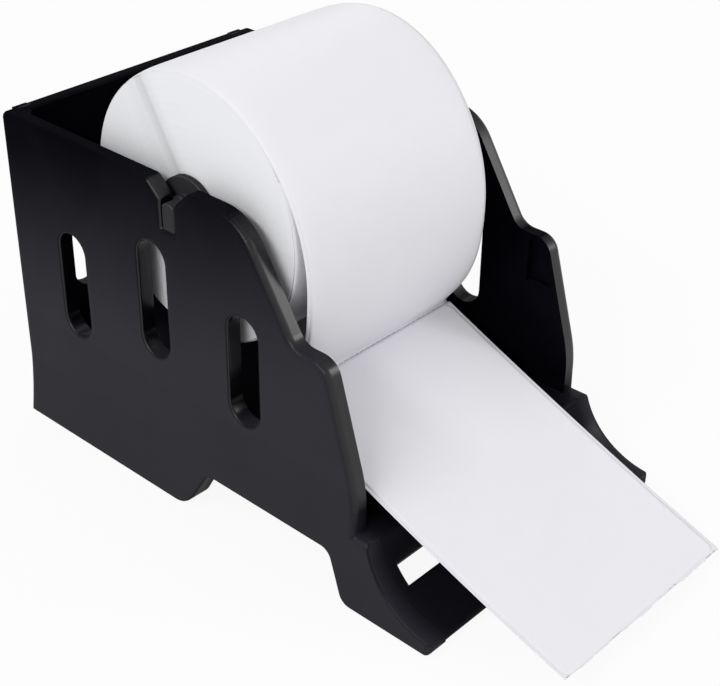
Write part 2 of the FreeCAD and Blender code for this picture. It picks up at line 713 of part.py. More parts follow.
def spindle_cap(name, side):
    """End cap: plug, flange and neck in one revolve, and the blade for the notch."""
    body = new_body(name)
    half = new_sketch(body, "XY_Plane", "half_section")
    plug = S.tube_radius - S.tube_wall - S.fit_gap
    neck_end = -S.flange_width - S.neck_length
    outline(half, [
        (S.plug_length, 0), (S.plug_length, plug), (0, plug), (0, S.flange_radius),
        (-S.flange_width, S.flange_radius),
        (-S.flange_width, S.neck_radius), (neck_end, S.neck_radius), (neck_end, 0)])
    axis = (half, ["H_Axis"])
    add(body, "Revolution", "turned", Profile=half, ReferenceAxis=axis, Angle=360.0)
    blade = new_sketch(body, "YZ_Plane", "blade", -S.flange_width)
    low = NOTCH_FLOOR - AXIS_HEIGHT
    edge = S.blade_width / 2
    crown = S.blade_crown
    shoulder = low + S.blade_height - crown + root(crown * crown - edge * edge)
    outline(blade, [(-edge, low), (edge, low), (edge, shoulder), (-edge, shoulder)],
            {2: (crown, True)})
    reach = OUTER_HALF - S.blade_setback - TUBE_HALF - S.flange_width
    add(body, "Pad", "blade_pad", Profile=blade, Length=reach, Reversed=True)
    end = -(reach + S.flange_width).value
    sides = shoulder.value
    round_edges(body, "blade_end_round", S.blade_round, lambda e: e.BoundBox.XMax < end + 0.01
                and e.BoundBox.ZLength > 1 and e.BoundBox.ZMax < sides + 0.01)
    body.Placement = FreeCAD.Placement(
        FreeCAD.Vector(), FreeCAD.Rotation(FreeCAD.Vector(0, 0, 1), 0 if side < 0 else 180))
    place(body, TUBE_HALF * side, -S.notch_centre, AXIS_HEIGHT)
    return body


# ---------------------------------------------------------------- roll, outermost turn and tail


def sheet_piece(name, path, arcs, thick, width, left):
    """A web: a path in the side view, thickened to its right and drawn out sideways."""
    sketch = DOC.addObject("Sketcher::SketchObject", name + "_path")
    sketch.Placement = FreeCAD.Placement(FreeCAD.Vector(), FreeCAD.Rotation(0.5, 0.5, 0.5, 0.5))
    draw(sketch, path, arcs, False)
    place(sketch, left)
    skin = DOC.addObject("Part::Offset2D", name + "_section")
    skin.Source = sketch
    skin.Fill = True
    skin.Mode = "Skin"
    skin.setExpression("Value", thick.text)
    web = DOC.addObject("Part::Extrusion", name)
    web.Base = skin
    web.DirMode = "Custom"
    web.Dir = (1, 0, 0)
    web.Solid = True
    web.setExpression("LengthFwd", width.text)
    web.Label = name
    DOC.recompute()
    return web


def level_start(run, drop):
    """Radius of an arc that starts level and falls by drop over run."""
    return (run * run + drop * drop) / (drop * 2)


def on_roll(angle):
    """Point on the inside of the outermost turn, at an angle from +Y over the top."""
    return (TURN_INSIDE * cosine(angle) - S.notch_centre, TURN_INSIDE * sine(angle) + AXIS_HEIGHT)


def outer_turn():
    """Last turns of the web: one a little slack in front, then round the back and over the top
    into the loose belly, down to the sharp fold where the strip starts."""
    centre_y, centre_z = -S.notch_centre, AXIS_HEIGHT
    off_centre = TURN_INSIDE - S.belly_radius
    belly_y = centre_y + off_centre * cosine(S.depart_angle) - S.belly_radius
    belly_z = centre_z + off_centre * sine(S.depart_angle)
    path = [on_roll(S.under_angle), (-S.slack_front, centre_z - S.slack_drop),
            on_roll(S.sag_angle), (centre_y + TURN_INSIDE, centre_z),
            (centre_y, centre_z + TURN_INSIDE), on_roll(S.depart_angle), (belly_y, belly_z),
            (-S.fold_front, FOLD_HEIGHT), crease()]
    tight = (TURN_INSIDE, True)
    arcs = {0: (S.slack_radius, True), 1: (S.sag_radius, True), 2: tight, 3: tight, 4: tight,
            5: (S.belly_radius, True),
            6: (level_start(belly_z - FOLD_HEIGHT, -S.fold_front - belly_y), True),
            7: (S.fold_radius, False)}
    return sheet_piece("outer_turn", path, arcs, S.web_thick, S.web_width, WEB_LEFT)


def crease():
    """Underside of the web at the end of the fold, as (y, z)."""
    return -S.fold_front - S.fold_run, FOLD_HEIGHT - S.fold_fall


def strip_path():
    """Upper side of the strip's liner, from the fold to the free end, with its one arc."""
    y, z = crease()
    start = (y - S.turn_gap, z)
    over_lip = S.lip_top + S.strip_over_lip
    fall = (z - over_lip) * (S.strip_end - S.lip_front) / (S.lip_front + start[0])
    return [start, (-S.strip_end, over_lip - fall)], {0: (S.strip_curl, False)}


def liner_strip():
    """Liner of the outgoing strip."""
    path, arcs = strip_path()
    return sheet_piece("liner_strip", path, arcs, -S.liner_thick, S.web_width, WEB_LEFT)


def front_label():
    """Label on the strip: a sheet on the liner, kept within a round-cornered outline."""
    path, arcs = strip_path()
    raised = [(y, z + S.label_lift) for y, z in path]
    sheet = sheet_piece("label_sheet", raised, arcs, S.label_thick, S.web_width, WEB_LEFT)
    die = new_body("label_die")
    sketch = new_sketch(die, "XY_Plane", "label_outline")
    half_width, half_length = S.label_width / 2, S.label_length / 2
    rectangle(sketch, -half_width, -half_length, half_width, half_length)
    add(die, "Pad", "die_pad", Profile=sketch, Length=S.label_length / 4, Midplane=True)
    uprights = edges_where(die.Tip.Shape, lambda e: e.BoundBox.ZLength > 1)
    add(die, "Fillet", "corners", Base=(die.Tip, uprights), Radius=S.label_corner)
    (start_y, start_z), (end_y, end_z) = path
    fall = slope(start_z - end_z, start_y - end_y)
    back = S.label_inset + half_length
    die.Placement = FreeCAD.Placement(
        FreeCAD.Vector(), FreeCAD.Rotation(FreeCAD.Vector(1, 0, 0), fall.value))
    die.setExpression("Placement.Rotation.Angle", fall.text)
    place(die, WEB_LEFT + S.web_width / 2, end_y + back * cosine(fall),
          end_z + back * sine(fall))
    label = DOC.addObject("Part::Common", "front_label")
    label.Base, label.Tool = sheet, die
    label.Label = "front_label"
    DOC.recompute()
    return label


# ---------------------------------------------------------------- assembly


def parts():
    """Build every sub-part and return them in the order of the list of pieces."""
    left = left_side_panel()
    core_inside = S.tube_radius + S.core_gap
    core_outside = core_inside + S.core_wall
    web_middle = WEB_LEFT + S.web_width / 2
    return [
        left,
        right_side_panel(left),
        back_panel(),
        base_plate(),
        foot_pad("foot_pad_rear_left", -1, S.pad_rear_centre),
        foot_pad("foot_pad_rear_right", 1, S.pad_rear_centre),
        foot_pad("foot_pad_front_left", -1, S.pad_front_centre),
        foot_pad("foot_pad_front_right", 1, S.pad_front_centre),
        ring("spindle_tube", S.tube_radius, S.tube_radius - S.tube_wall, TUBE_HALF * 2),
        spindle_cap("spindle_cap_left", -1),
        spindle_cap("spindle_cap_right", 1),
        ring("roll_core", core_outside, core_inside, S.web_width, web_middle),
        ring("label_roll", TURN_INSIDE - S.turn_gap, core_outside + S.wind_gap, S.web_width,
             web_middle),
        outer_turn(),
        liner_strip(),
        front_label(),
    ]


PARTS = parts()
DOC.recompute()

for item in DOC.Objects:
    if "Invalid" in item.State or "Error" in item.State:
        raise RuntimeError("%s failed: %s" % (item.Label, item.State))

os.makedirs("parts", exist_ok=True)
for piece in PARTS:
    if piece.Shape.isNull() or not piece.Shape.isValid():
        raise RuntimeError("%s has no valid shape" % piece.Label)
    piece.Shape.exportStep("parts/%s.step" % piece.Label)
    box = piece.Shape.BoundBox
    print("%-18s %8.1f cm3  x %.1f..%.1f  y %.1f..%.1f  z %.1f..%.1f" % (
        piece.Label, piece.Shape.Volume / 1000, box.XMin, box.XMax, box.YMin, box.YMax,
        box.ZMin, box.ZMax))
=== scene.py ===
"""Desk stand for a roll of labels: a black moulded housing, a lift-out spindle, and a white roll.

Metres, +Z up, the strip runs out towards -Y, and the origin is on the table.
"""

import json
import math

import bpy
import numpy as np
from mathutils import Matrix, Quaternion, Vector


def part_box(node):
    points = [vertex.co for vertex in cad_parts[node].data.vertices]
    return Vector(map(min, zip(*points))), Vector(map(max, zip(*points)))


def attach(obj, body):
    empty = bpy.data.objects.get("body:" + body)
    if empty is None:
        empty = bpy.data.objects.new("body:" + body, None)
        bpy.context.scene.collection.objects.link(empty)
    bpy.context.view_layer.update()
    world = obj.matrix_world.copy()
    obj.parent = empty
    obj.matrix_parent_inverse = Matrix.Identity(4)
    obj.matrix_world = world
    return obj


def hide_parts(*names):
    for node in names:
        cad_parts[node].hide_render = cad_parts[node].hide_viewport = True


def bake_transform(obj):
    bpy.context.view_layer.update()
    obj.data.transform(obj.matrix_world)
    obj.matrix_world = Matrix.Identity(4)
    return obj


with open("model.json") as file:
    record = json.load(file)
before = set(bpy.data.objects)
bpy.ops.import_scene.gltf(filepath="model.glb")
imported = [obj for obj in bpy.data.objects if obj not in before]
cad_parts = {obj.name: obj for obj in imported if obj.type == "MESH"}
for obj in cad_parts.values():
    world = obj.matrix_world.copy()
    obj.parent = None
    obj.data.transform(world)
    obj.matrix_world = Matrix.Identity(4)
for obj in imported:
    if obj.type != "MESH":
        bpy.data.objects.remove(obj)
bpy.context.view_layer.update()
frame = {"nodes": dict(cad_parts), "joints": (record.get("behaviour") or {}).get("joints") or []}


# ---------------------------------------------------------------- housing
# Four injection mouldings in black ABS: two side panels, the back panel that hooks into them
# and the floor plate that curls down into the sill. The mould is spark-eroded, so the skin
# has a fine even grain. Its colour and coat carry painted light and shade: paler and glossier
# low down, towards the front and towards the left, near black at the top rear, in the sill and
# on faces that look inwards, with slow random patches.

# ABS_BLACK is the plastic's own colour; ABS_PAINTED_LIGHT is the paler colour that painted light
# mixes in.
ABS_BLACK = (0.0012, 0.0013, 0.0028, 1.0)
ABS_PAINTED_LIGHT = (0.0225, 0.0212, 0.0280, 1.0)
SHEEN = 0.03
COAT_ROUGHNESS = 0.26
GRAIN_STRENGTH = 0.35
PATCH_SIZE = 0.045
BEVEL_SAMPLES = 16
EVERYWHERE = (-2.0, -1.0)  # a span of distances that all of a piece lies beyond

# Where each mask starts and ends, and the share that it adds, or that it leaves at its start.
# Drift and front are distances along a direction, sill is one from the centre plane, foot is
# a height, and edge, rim and inward are cosines.
# Drift paints light: paler low down, towards the front and towards the left. Sill and inward
# paint shade: darker in the sill and on faces that look inwards.
DRIFT, DRIFT_SPAN, DRIFT_SHARE = (-0.45, -0.20, -0.95), (-0.130, -0.038), 0.90
PATCH_SPAN, PATCH_SHARE = (0.35, 0.75), 0.08
FRONT_LINE, FRONT_SPAN = (0.0, -0.9, 1.0), (0.103, 0.113)
SILL_SPAN, SILL_SHARE = (0.0600, 0.0720), 0.30
INWARD_SPAN, INWARD_SHARE = (-0.7, -0.1), 0.12
EDGE_SPAN = (0.995, 0.85)
RIM_SPAN = (-0.2, -0.8)
FOOT_SPAN = (0.030, 0.055)


def feed(tree, node, inputs):
    """Gives each input of a node its plain value, or links it to an output of another node."""
    for name, given in inputs.items():
        if isinstance(given, bpy.types.NodeSocket):
            tree.links.new(given, node.inputs[name])
        else:
            node.inputs[name].default_value = given


def add_node(tree, kind, output, inputs, **settings):
    """Adds a shader node with its settings and inputs, and hands back one of its outputs."""
    node = tree.nodes.new("ShaderNode" + kind)
    for name, value in settings.items():
        setattr(node, name, value)
    feed(tree, node, inputs)
    return node.outputs[output]


def calculate(tree, operation, *values, clamp=False):
    """Result of a sum over outputs and plain numbers."""
    return add_node(tree, "Math", 0, dict(enumerate(values)), operation=operation,
                    use_clamp=clamp)


def dot(tree, first, second):
    """Dot product of two vectors."""
    return add_node(tree, "VectorMath", "Value", {0: first, 1: second}, operation="DOT_PRODUCT")


def split(tree, vector):
    """X, Y and Z of a vector."""
    node = tree.nodes.new("ShaderNodeSeparateXYZ")
    feed(tree, node, {"Vector": vector})
    return tuple(node.outputs)


def ramp(tree, value, span=(0.0, 1.0), low=0.0, high=1.0, shape="LINEAR"):
    """Goes from low to high while the value crosses the span, and stays level outside it."""
    inputs = {"Value": value, "From Min": span[0], "From Max": span[1],
              "To Min": low, "To Max": high}
    return add_node(tree, "MapRange", "Result", inputs, interpolation_type=shape)


def noise(tree, vector, scale, **inputs):
    """Noise of a scale per metre; inputs are those of the texture that aren't left alone."""
    return add_node(tree, "TexNoise", "Fac", {"Vector": vector, "Scale": scale, **inputs})


def mixed(tree, factor, first, second, blend="MIX"):
    """Colour between the first and the second, by factor."""
    return add_node(tree, "Mix", "Result", {"Factor": factor, "A": first, "B": second},
                    data_type="RGBA", blend_type=blend)


def blank_group(name, floats, outputs, vectors=()):
    """An empty node group with its sockets: the group, its given values and its output node."""
    group = bpy.data.node_groups.new(name, "ShaderNodeTree")
    for names, way, kind in ((floats, "INPUT", "Float"), (vectors, "INPUT", "Vector"),
                             (outputs, "OUTPUT", "Float")):
        for socket in names:
            group.interface.new_socket(socket, in_out=way, socket_type="NodeSocket" + kind)
    given = group.nodes.new("NodeGroupInput").outputs
    return group, given, group.nodes.new("NodeGroupOutput")


def moulded_skin_group():
    """Spark-eroded mould grain, a mask of painted light and shade with random patches, and masks
    of edges and of polished edges.

    Painted Light And Patches is a drift along one direction, painted light that is paler low
    down, towards the front and towards the left and near black at the top rear, plus a slow noise
    for random patches. Little of it is left in the sill or on faces that look inwards, a painted
    shade there. Edge grows with the angle between the face's normal and the Rounded one, or is
    Rim on faces that look forwards, fading towards the feet. Polish is the same, but Quiet times
    as strong on edges behind a slanting line, which hands don't reach.
    """
    group, given, made = blank_group(
        "moulded_skin", floats=("Grain Size", "Patch Size", "Rim", "Quiet"),
        vectors=("Rounded",), outputs=("Height", "Painted Light And Patches", "Edge", "Polish"))
    place = group.nodes.new("ShaderNodeTexCoord").outputs["Object"]
    normal = group.nodes.new("ShaderNodeNewGeometry").outputs["True Normal"]
    place_x, _, place_z = split(group, place)
    normal_x, normal_y, _ = split(group, normal)
    above_feet = ramp(group, place_z, FOOT_SPAN, shape="SMOOTHSTEP")

    grain = noise(group, place, calculate(group, "DIVIDE", 1.0, given["Grain Size"]),
                  Detail=3.0, Roughness=0.65)
    patches = noise(group, place, calculate(group, "DIVIDE", 1.0, given["Patch Size"]),
                    Detail=4.0, Distortion=0.6)
    # Painted light: paler low down, towards the front and towards the left, plus random patches.
    drift = ramp(group, dot(group, place, DRIFT), DRIFT_SPAN, shape="SMOOTHSTEP")
    lit_and_patches = calculate(group, "MULTIPLY_ADD", drift, DRIFT_SHARE,
                       ramp(group, patches, PATCH_SPAN, high=PATCH_SHARE), clamp=True)

    # Painted shade: darker on faces that look inwards, and in the sill near the centre plane low
    # down.
    outward = calculate(group, "MULTIPLY", normal_x, calculate(group, "SIGN", place_x))
    inward_shade = ramp(group, outward, INWARD_SPAN, low=INWARD_SHARE)
    beside_sill = ramp(group, calculate(group, "ABSOLUTE", place_x), SILL_SPAN, low=SILL_SHARE,
                       shape="SMOOTHSTEP")
    sill_shade = calculate(group, "MAXIMUM", beside_sill, above_feet)
    painted_shade = calculate(group, "MULTIPLY", sill_shade, inward_shade)

    edge = ramp(group, dot(group, given["Rounded"], normal), EDGE_SPAN)
    front_rim = calculate(group, "MULTIPLY",
                          ramp(group, normal_y, RIM_SPAN, high=given["Rim"]), above_feet)
    handled = ramp(group, dot(group, place, FRONT_LINE), FRONT_SPAN, low=given["Quiet"],
                   shape="SMOOTHSTEP")
    wiped = calculate(group, "MULTIPLY", edge, handled)
    feed(group, made, {"Height": grain,
                       "Painted Light And Patches": calculate(group, "MULTIPLY", lit_and_patches, painted_shade),
                       "Edge": calculate(group, "MAXIMUM", edge, front_rim),
                       "Polish": calculate(group, "MAXIMUM", wiped, front_rim)})
    return group


moulded_skin = moulded_skin_group()


def blank_material(name):
    """A material with one Principled shader, its tree, and that shader."""
    material = bpy.data.materials.new(name)
    material.use_nodes = True
    tree = material.node_tree
    return material, tree, tree.nodes["Principled BSDF"]


def rounded_normal(tree, radius, rounding):
    """Normal of edges rounded by radius, which grows to its full size over the span rounding of
    distances from the centre plane, so that a seam where two mouldings meet flush stays flat."""
    place = tree.nodes.new("ShaderNodeTexCoord").outputs["Object"]
    from_middle = calculate(tree, "ABSOLUTE", split(tree, place)[0])
    growing = ramp(tree, from_middle, rounding, high=radius)
    return add_node(tree, "Bevel", "Normal", {"Radius": growing}, samples=BEVEL_SAMPLES)


def moulded_material(name, plain, lit_colour, grain, dull, bright, depth, edge, polish, edge_polish,
                     rim=0.0, quiet=1.0, rounding=EVERYWHERE):
    """Grained moulding: rubbed skin is paler and shinier, and edges are wiped clean and shine.

    Roughness goes from dull to bright at the edges, and the coat from SHEEN to polish with the
    painted-light mask and up to edge_polish on polished edges, which are rounded by the radius
    edge.
    """
    material, tree, shader = blank_material(name)
    rounded = rounded_normal(tree, edge, rounding)
    skin = tree.nodes.new("ShaderNodeGroup")
    skin.node_tree = moulded_skin
    feed(tree, skin, {"Grain Size": grain, "Patch Size": PATCH_SIZE, "Rim": rim, "Quiet": quiet,
                      "Rounded": rounded})
    mask = skin.outputs
    # Colour: painted light less the edge mask, so rounded edges and forward-facing rims are
    # painted darker, a painted shade.
    lit_less_edges = calculate(tree, "SUBTRACT", mask["Painted Light And Patches"], mask["Edge"], clamp=True)
    shine = calculate(tree, "MAXIMUM", ramp(tree, mask["Painted Light And Patches"], low=SHEEN, high=polish),
                      ramp(tree, mask["Polish"], high=edge_polish))
    grained = add_node(tree, "Bump", "Normal",
                       {"Strength": GRAIN_STRENGTH, "Distance": depth,
                        "Height": mask["Height"], "Normal": rounded})
    feed(tree, shader, {"Base Color": mixed(tree, lit_less_edges, plain, lit_colour),
                        "Roughness": ramp(tree, mask["Edge"], low=dull, high=bright),
                        "Specular IOR Level": 0.0, "Normal": grained,
                        "Coat Weight": shine, "Coat Roughness": COAT_ROUGHNESS,
                        "Coat Normal": rounded})
    return material


def finish_node(name, material):
    """Gives a node of the frame its material."""
    slots = frame["nodes"][name].data.materials
    slots.clear()
    slots.append(material)


side_plastic = moulded_material(
    "side_plastic", ABS_BLACK, ABS_PAINTED_LIGHT, grain=0.0006, dull=0.36, bright=0.24,
    depth=0.00003, edge=0.0024, polish=0.21, edge_polish=0.95, rim=0.95, quiet=0.35,
    rounding=(0.0660, 0.0684))
plate_plastic = moulded_material(
    "plate_plastic", ABS_BLACK, ABS_PAINTED_LIGHT, grain=0.0006, dull=0.36, bright=0.24,
    depth=0.00003, edge=0.0014, polish=0.20, edge_polish=0.50, rounding=(0.0628, 0.0612))
finish_node("side_panel_left", side_plastic)
finish_node("side_panel_right", side_plastic)
finish_node("back_panel", plate_plastic)
finish_node("base_plate", plate_plastic)


# ---------------------------------------------------------------- rubber feet
# Four bars die-cut from rubber sheet and glued into pockets under the side panels.
# Each one bulges a little at its sides under the weight, and its rim is softly rounded.

RUBBER = (0.018, 0.018, 0.019, 1.0)
# RUBBER_PAINTED_LIGHT is mixed in by the same painted-light mask as the housing's paler colour.
RUBBER_PAINTED_LIGHT = (0.045, 0.044, 0.042, 1.0)
FOOT_RIM = 0.0005
FOOT_BULGE = 0.00012
FOOT_POWER = 10.0


def grid_mesh(name, points, loop_rows=False, loop_columns=False):
    """Mesh over a grid of points, rows by columns by xyz, with closed rows or columns on request.

    Each face joins a point to its neighbour in the next column and the next row.
    """
    rows, columns = points.shape[:2]
    index = np.arange(rows * columns).reshape(rows, columns)
    if loop_rows:
        index = np.vstack([index, index[:1]])
    if loop_columns:
        index = np.hstack([index, index[:, :1]])
    quads = np.stack([index[:-1, :-1], index[:-1, 1:], index[1:, 1:], index[1:, :-1]], axis=-1)
    mesh = bpy.data.meshes.new(name)
    mesh.from_pydata(points.reshape(-1, 3).tolist(), [], quads.reshape(-1, 4).tolist())
    mesh.shade_smooth()
    piece = bpy.data.objects.new(name, mesh)
    bpy.context.scene.collection.objects.link(piece)
    return piece


def foot_bar(name, node):
    """Rounded bar: every level is a rounded rectangle, a superellipse of FOOT_POWER in plan.

    Level by level from the bottom centre up, the outline grows by a quarter round, bulges by a
    sine over the height and shrinks again by a quarter round, so both ends close at a point.
    """
    low, high = (np.array(corner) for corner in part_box(node))
    middle, half = (low + high) / 2, (high - low) / 2
    top = 2 * half[2]
    turn = np.linspace(0.0, 2 * math.pi, 96, endpoint=False)
    quarter = np.linspace(0.0, math.pi / 2, 6)
    wall = np.linspace(FOOT_RIM, top - FOOT_RIM, 7)[1:-1]
    inset = np.concatenate([[half[0]], FOOT_RIM * (1 - np.sin(quarter)), np.zeros(len(wall)),
                            FOOT_RIM * (1 - np.cos(quarter)), [half[0]]])
    height = np.concatenate([[0.0], FOOT_RIM * (1 - np.cos(quarter)), wall,
                             top - FOOT_RIM + FOOT_RIM * np.sin(quarter), [top]])
    swell = FOOT_BULGE * (np.sin(math.pi * height / height[-1]) - 1)
    across = (half[0] - inset + swell).clip(1e-6)[:, None]
    along = (half[1] - inset + swell).clip(1e-6)[:, None]
    round_x = np.sign(np.cos(turn)) * np.abs(np.cos(turn)) ** (2 / FOOT_POWER)
    round_y = np.sign(np.sin(turn)) * np.abs(np.sin(turn)) ** (2 / FOOT_POWER)
    level = np.broadcast_to(low[2] + height[:, None], (len(height), len(turn)))
    points = np.stack([middle[0] + across * round_x, middle[1] + along * round_y, level],
                      axis=-1)
    return grid_mesh(name, points, loop_columns=True)


rubber = moulded_material(
    "foot_rubber", RUBBER, RUBBER_PAINTED_LIGHT, grain=0.0004, dull=0.85, bright=0.70, depth=0.00004,
    edge=0.0003, polish=0.0, edge_polish=0.0)
for corner in ("rear_left", "rear_right", "front_left", "front_right"):
    foot = foot_bar("rubber_foot_" + corner, "foot_pad_" + corner)
    foot.data.materials.append(rubber)
    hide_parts("foot_pad_" + corner)
    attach(foot, "stand")


# ---------------------------------------------------------------- spindle
# An extruded tube and two moulded end caps of the same black plastic. Each cap has a plug, a
# flange, a neck and the flat blade that drops into the notch of a side panel.

# The spindle's colours are painted some twenty times paler than the housing's black, although it
# is the same plastic: painted light that lifts the caps out of the shade between the panels.
SPINDLE_BLACK = (0.028, 0.028, 0.031, 1.0)
SPINDLE_PAINTED_LIGHT = (0.040, 0.039, 0.044, 1.0)

spindle_plastic = moulded_material(
    "spindle_plastic", SPINDLE_BLACK, SPINDLE_PAINTED_LIGHT, grain=0.0005, dull=0.34, bright=0.25,
    depth=0.00002, edge=0.0012, polish=0.25, edge_polish=0.55)
for name in ("spindle_tube", "spindle_cap_left", "spindle_cap_right"):
    finish_node(name, spindle_plastic)


# ---------------------------------------------------------------- paper core
# Spirally wound tube of grey board that the labels are wound on. It is cut square at both
# ends, and the cut has lost its sharp corners.

BOARD_GREY = (0.46, 0.43, 0.38, 1.0)
BOARD_PALE = (0.62, 0.59, 0.53, 1.0)
CORE_WALL = 0.002
CORE_NICK = 0.0003
FIBRE_STRENGTH = 0.3
CLOUDS_PER_METRE = 90.0

axis_y, axis_z = next(j["pos_m"] for j in frame["joints"] if j["name"] == "roll_spin")[1:]


def turned_surface(name, profile, steps):
    """Surface of revolution about the spindle axis from a closed profile of (x, radius)."""
    angle = np.linspace(0.0, 2 * math.pi, steps, endpoint=False)
    x, radius = (np.asarray(column)[:, None] for column in zip(*profile))
    points = np.stack([np.broadcast_to(x, (len(profile), steps)),
                       axis_y + radius * np.cos(angle), axis_z + radius * np.sin(angle)], axis=-1)
    return grid_mesh(name, points, loop_rows=True, loop_columns=True)


def paper_fibre_group():
    """Paper: a fine fibrous height, and a slow cloudiness as in a sheet held to the light."""
    group, given, made = blank_group("paper_fibre", floats=("Fibre Size",),
                                     outputs=("Height", "Cloud"))
    place = group.nodes.new("ShaderNodeTexCoord").outputs["Object"]
    fibre = noise(group, place, calculate(group, "DIVIDE", 1.0, given["Fibre Size"]),
                  Detail=5.0, Distortion=1.2)
    feed(group, made, {"Height": fibre,
                       "Cloud": noise(group, place, CLOUDS_PER_METRE, Detail=3.0)})
    return group


paper_fibre = paper_fibre_group()


def paper_bump(tree, height, depth):
    """Normal of paper whose fibres or cut edges stand up by depth."""
    return add_node(tree, "Bump", "Normal",
                    {"Strength": FIBRE_STRENGTH, "Distance": depth, "Height": height})


def paper_material(name, dark, light, fibre_size, roughness, depth):
    """Paper whose colour drifts with its cloudiness and whose fibres are a faint bump."""
    material, tree, shader = blank_material(name)
    fibre = tree.nodes.new("ShaderNodeGroup")
    fibre.node_tree = paper_fibre
    feed(tree, fibre, {"Fibre Size": fibre_size})
    feed(tree, shader, {"Base Color": mixed(tree, fibre.outputs["Cloud"], dark, light),
                        "Normal": paper_bump(tree, fibre.outputs["Height"], depth),
                        "Roughness": roughness})
    return material


core_low, core_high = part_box("roll_core")
core_outer = (core_high.z - core_low.z) / 2
core_bore = core_outer - CORE_WALL
winding_core = turned_surface("winding_core", [
    (core_low.x, core_bore + CORE_NICK), (core_low.x, core_outer - CORE_NICK),
    (core_low.x + CORE_NICK, core_outer), (core_high.x - CORE_NICK, core_outer),
    (core_high.x, core_outer - CORE_NICK), (core_high.x, core_bore + CORE_NICK),
    (core_high.x - CORE_NICK, core_bore), (core_low.x + CORE_NICK, core_bore)], steps=96)
winding_core.data.set_sharp_from_angle(angle=math.radians(30))
winding_core.data.materials.append(paper_material(
    "core_board", BOARD_GREY, BOARD_PALE, fibre_size=0.0012, roughness=0.85, depth=0.00008))
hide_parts("roll_core")
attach(winding_core, "roll")


# ---------------------------------------------------------------- wound roll
# Several hundred turns of label web, wound tight. The cut edges of the turns make the end
# faces: they stand a hair proud or shy of each other, so the face is finely ringed, and a
# knock in one place has pressed a faint dent from rim to core. The end face is painted darker
# along the dent and a little on one side of it, a painted shade.

LABEL_WHITE = (0.81, 0.805, 0.845, 1.0)
LABEL_SHADE = (0.79, 0.785, 0.825, 1.0)
EDGE_WHITE = (0.81, 0.815, 0.84, 1.0)
EDGE_GREY = (0.775, 0.78, 0.805, 1.0)
ROLL_INSET = 0.00036
BORE_PLAY = 0.0001
ROLL_RIM = 0.00006
DROOP, DROOP_REACH = 0.0012, 0.0028
RING_DEPTH = 0.000012
RINGS_PER_METRE = 1800.0
RING_SWAY = 0.0006
RING_BUMP = 0.00004
CUT_ROUGHNESS = 0.7
DENT_ANGLE = math.radians(59.3)
DENT_DEPTH, DENT_WIDTH = 0.0004, 0.0026
DENT_REACH = (-0.012, 0.012)
# Painted shade on the end face: darker along the dent, and a little darker on its side of smaller
# angle.
DENT_TONES = ((0.0, 0.96), (0.34, 0.91), (0.44, 0.80), (0.53, 0.78), (0.64, 0.93), (0.85, 1.0))
END_FACING = 0.7

roll_low, roll_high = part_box("label_roll")
turn_low, turn_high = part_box("outer_turn")
roll_radius = turn_high.z - axis_z - ROLL_INSET
roll_bore = core_outer + BORE_PLAY


def edge_droop(x):
    """How far the wound web sinks towards its two cut edges, where nothing stretches it."""
    near = np.minimum(x - roll_low.x, roll_high.x - x)
    return DROOP * np.exp(-near.clip(0) / DROOP_REACH)


def end_face_depth(radius, angle):
    """How far the end face lies behind its highest turn, by radius and angle.

    Three sines of the radius stand for the uneven turns, and a bell curve of the distance
    from one radius for the dent.
    """
    rings = (np.sin(radius * 2100) + 0.7 * np.sin(radius * 5200 + 1.3)
             + 0.5 * np.sin(radius * 9100 + 0.4 + np.sin(angle)))
    highest = 1 + 0.7 + 0.5
    away = radius * (angle - DENT_ANGLE)
    return RING_DEPTH * (highest - rings) + DENT_DEPTH * np.exp(-(away / DENT_WIDTH) ** 2)


def wound_roll_surface():
    """Roll: out along one end face, over the rim, along the tread, back in, and the bore.

    Radius and x are a closed profile, carried round the axis in steps that are finest at the
    dent, and both ends are pushed in by end_face_depth.
    """
    turned = np.linspace(-1.0, 1.0, 320, endpoint=False)
    angle = DENT_ANGLE + math.pi * turned * (0.2 + 0.8 * turned ** 2)
    outer = roll_radius - edge_droop(roll_low.x)
    face = np.linspace(roll_bore, outer - ROLL_RIM, 84)
    corner = np.linspace(0.0, math.pi / 2, 4)[1:]
    rounded = outer - ROLL_RIM + ROLL_RIM * np.sin(corner)
    tread = np.linspace(roll_low.x + ROLL_RIM, roll_high.x - ROLL_RIM, 60)[1:-1]
    left_x = np.concatenate([np.full(len(face), roll_low.x),
                             roll_low.x + ROLL_RIM * (1 - np.cos(corner))])
    right_x = roll_low.x + roll_high.x - left_x[::-1]
    radius = np.concatenate([face, rounded, roll_radius - edge_droop(tread), rounded[::-1],
                             face[::-1]])
    x = np.concatenate([left_x, tread, right_x])
    share = np.concatenate([np.ones(len(face)), np.cos(corner), np.zeros(len(tread)),
                            -np.cos(corner)[::-1], -np.ones(len(face))])
    push = share[:, None] * end_face_depth(radius[:, None], angle[None, :])
    points = np.stack([x[:, None] + push, axis_y + radius[:, None] * np.cos(angle),
                       axis_z + radius[:, None] * np.sin(angle)], axis=-1)
    return grid_mesh("wound_roll", points, loop_rows=True, loop_columns=True)


